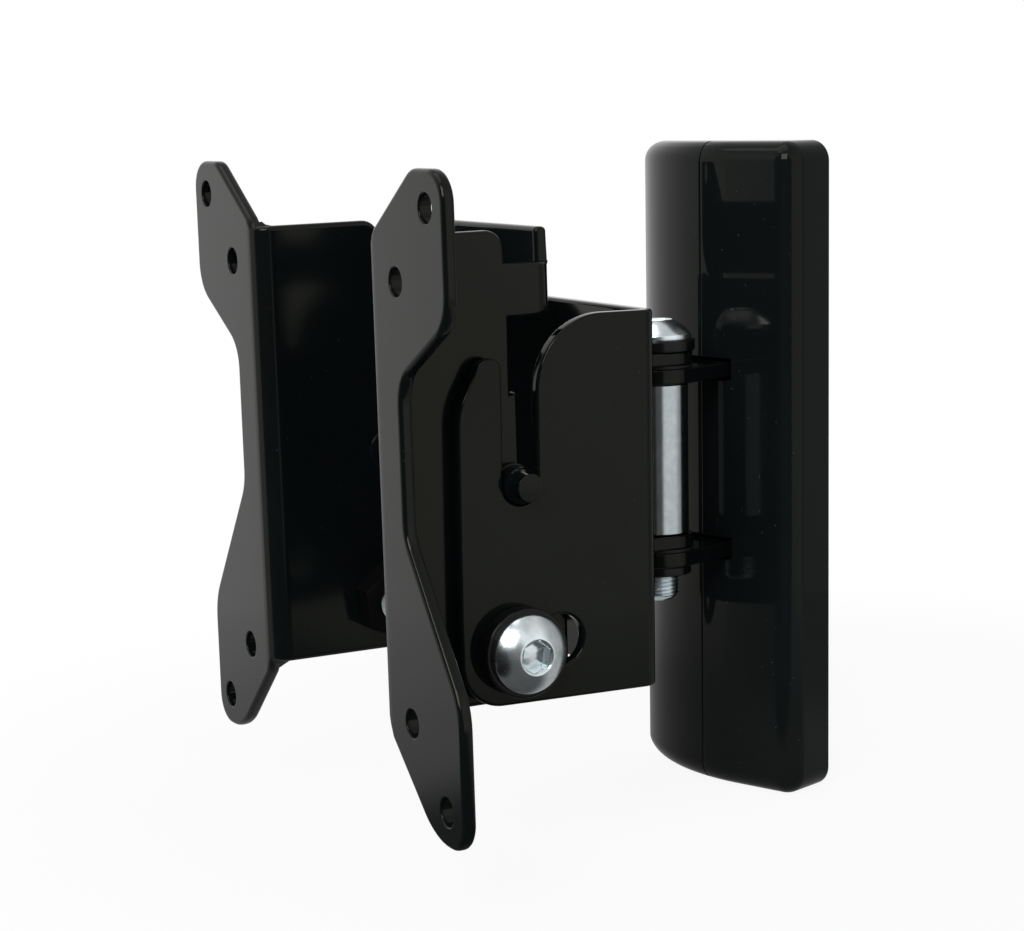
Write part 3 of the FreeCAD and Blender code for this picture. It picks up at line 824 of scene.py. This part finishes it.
def round_loop(bm, radius, level):
    """Round loop of edges."""
    bmesh.ops.create_circle(bm, segments=ROUND_STEPS, radius=radius,
                            matrix=Matrix.Translation((0, 0, level)))
    return wire_runs(bm)


def hex_nut(across_flats, high):
    """Nut about its middle, with corners turned off on both faces."""
    half = high / 2
    bm = bmesh.new()
    loops = []
    for way in (-1, 1):
        bore_loop = round_loop(bm, BOLT, way * (half - NUT_LEAD_IN))
        bore_points = {v for edge in bore_loop for v in edge.verts}
        edge_loop = [edge for edge in round_loop(bm, BOLT + NUT_LEAD_IN, way * half)
                     if not bore_points & set(edge.verts)]
        bmesh.ops.bridge_loops(bm, edges=bore_loop + edge_loop)
        face_loop = round_loop(bm, across_flats * NUT_FACE, way * half)
        bmesh.ops.bridge_loops(bm, edges=edge_loop + face_loop)
        side_loop = hex_loop(bm, across_flats, way * half)
        for vert in {v for edge in side_loop for v in edge.verts}:
            vert.co.z -= way * NUT_SLOPE * (vert.co.xy.length - across_flats * NUT_FACE)
        bmesh.ops.bridge_loops(bm, edges=face_loop + side_loop)
        loops.append((bore_loop, side_loop))
    for lower, upper in zip(*loops):
        bmesh.ops.bridge_loops(bm, edges=lower + upper)
    bmesh.ops.recalc_face_normals(bm, faces=bm.faces)
    return bm


for side, way in SIDES.items():
    node = "clamp_nut_" + side
    turned_piece("hex_" + node, node, "screen", "black_hardware", PHOSPHATE,
                 hex_nut(*NUT), middle(node), way)

# %% [markdown]
# ## Floor, studio and camera
# Glossy black is drawn by what it reflects, so the studio matters more than the lamps. Floor and world
# are white for the camera and in every mirror. A photographer then sets up black cloths, called flags,
# which only dim what a shiny surface mirrors: a dark one in front, and grey ones behind the mount,
# overhead and below. The left stays white and fills the flanges.

# %% White surroundings and flags
# Direction of a flag, where its soft edge begins and ends, and the share of light that it takes
FLAGS = (
    ((0.242, -0.970, 0.0), 0.60, 0.75, 0.88),
    ((0.259, 0.966, 0.0), 0.50, 0.90, 0.62),
    ((0.0, 0.0, 1.0), 0.40, 0.90, 0.40),
    ((0.0, 0.0, -1.0), 0.0, 0.60, 0.62),
)


def ray(place, kind):
    """1 for one kind of ray, 0 for the others."""
    return place.node("ShaderNodeLightPath", out="Is " + kind + " Ray")


def shown_white(place):
    """1 for what the camera sees straight, in a mirror or through glass, 0 for light that spreads."""
    return ray(place, "Camera") + ray(place, "Glossy") + ray(place, "Transmission")


def past_flags(way):
    """Brightness that the flags leave of a direction, 1 for all rays but mirrored ones."""
    level = 1.0
    mirrored = ray(way, "Glossy")
    for flag_way, low, high, dark in FLAGS:
        sockets = {0: way, 1: flag_way}
        facing = way.node("ShaderNodeVectorMath", {"operation": "DOT_PRODUCT"}, sockets, out="Value")
        level = level * (1 - dark * mirrored * facing.between(low, high))
    return level


print("flags:", len(FLAGS))

# %% [markdown]
# ### White floor
# The mount stands on a round sheet of white paper. For the camera and in mirrors the paper glows, so
# that it runs into the white surroundings. For light that spreads it stays matt paper, and a little of
# that is mixed in near the mount, where it keeps a faint shadow.

# %% Floor
FLOOR_STEPS = 96
FLOOR_FORWARD = -0.03
FLOOR_REACH = 0.24
FLOOR_FADE = (0.12, 0.23)
FLOOR_WHITE = 0.92
PAPER = 0.85
floor_level = cad_box[0][2]

bm = bmesh.new()
bmesh.ops.create_circle(bm, cap_ends=True, segments=FLOOR_STEPS, radius=FLOOR_REACH,
                        matrix=Matrix.Translation((0, FLOOR_FORWARD, floor_level)))
floor_mesh = bpy.data.meshes.new("studio_floor")
bm.to_mesh(floor_mesh)
bm.free()
floor = bpy.data.objects.new("studio_floor", floor_mesh)
scene.collection.objects.link(floor)

paper, place = new_finish("white_paper_floor")
distance = place.node("ShaderNodeVectorMath", {"operation": "LENGTH"}, {0: place}, out="Value")
fade = distance.between(*FLOOR_FADE)
from_middle = place.node("ShaderNodeVectorMath", {"operation": "NORMALIZE"}, {0: place})
matt = place.node("ShaderNodeBsdfDiffuse", None, {"Color": grey(PAPER)})
glow = place.node("ShaderNodeEmission", None, {"Color": past_flags(from_middle), "Strength": 1.0})
share = shown_white(place) * (FLOOR_WHITE + (1 - FLOOR_WHITE) * fade)
white = place.node("ShaderNodeMixShader", None, {0: share, 1: matt, 2: glow})
place.node("ShaderNodeOutputMaterial", None, {"Surface": white})
floor_mesh.materials.append(paper)
print("floor at", floor_level)

# %% [markdown]
# ### White room
# The world is the room around the table. It is fully white where it is seen, straight or in a mirror,
# and gives less light to what is matt, because the lamps give the rest.

# %% Studio
ROOM = 0.35

world = bpy.data.worlds.new("studio")
world.use_nodes = True
world.node_tree.nodes.clear()
scene.world = world
way = Wire(world.node_tree).node("ShaderNodeTexCoord", out="Generated")
seen = shown_white(way)
level = past_flags(way) * (seen + (1 - seen) * ROOM)
sky = way.node("ShaderNodeBackground", None, {"Color": level, "Strength": 1.0})
way.node("ShaderNodeOutputWorld", None, {"Surface": sky})
print("light that spreads in the room:", ROOM)

# %% [markdown]
# ### Lamps
# Two lamps draw the highlights. A soft box above the camera puts a spot on the bolts and a glint on the
# hooks, and a broad lamp overhead lights the tops of the folds.

# %% Lamps
AIM = Vector((-0.01, -0.06, 0.0))


def soft_lamp(name, place, wide, high, radiance):
    """Rectangular lamp that faces the mount, given the brightness of its face."""
    lamp = bpy.data.lights.new(name, "AREA")
    lamp.shape = "RECTANGLE"
    lamp.size = wide
    lamp.size_y = high
    lamp.energy = radiance * math.pi * wide * high
    holder = bpy.data.objects.new(name, lamp)
    holder.matrix_world = (Matrix.Translation(place)
                           @ (Vector(place) - AIM).to_track_quat("Z", "Y").to_matrix().to_4x4())
    holder.visible_camera = False
    scene.collection.objects.link(holder)
    print(name, "power in W:", round(lamp.energy, 2))


soft_lamp("box_lamp", (0.48, -1.25, 0.87), 0.80, 0.80, 6.0)
soft_lamp("ceiling_lamp", (-0.3, -0.4, 1.5), 1.2, 1.2, 1.2)

# %% [markdown]
# ### Camera
# The camera was solved from the screen holes: their two squares have known sizes, so their places in
# the photograph fix where it stood and how long its lens was.

# %% Camera
LENS = 89.04
SENSOR = 36.0
NEAREST = 0.01
CAMERA_PLACE = (0.296837, -0.410702, 0.071406)
CAMERA_TURN = 41.004
CAMERA_DIP = 8.102
CAMERA_ROLL = -0.959

camera_data = bpy.data.cameras.new("camera")
camera_data.lens = LENS
camera_data.sensor_width = SENSOR
camera_data.sensor_fit = "HORIZONTAL"
camera_data.clip_start = NEAREST
camera = bpy.data.objects.new("camera", camera_data)
camera.matrix_world = (Matrix.Translation(CAMERA_PLACE)
                       @ Matrix.Rotation(math.radians(CAMERA_TURN), 4, "Z")
                       @ Matrix.Rotation(math.radians(90 - CAMERA_DIP), 4, "X")
                       @ Matrix.Rotation(math.radians(CAMERA_ROLL), 4, "Z"))
scene.collection.objects.link(camera)
scene.camera = camera
print("lens in mm:", LENS)

# %% [markdown]
# ## Size
# The box of the CAD model was read and printed when the frame was loaded. The dressed mount
# has to stay in the box of the CAD model.
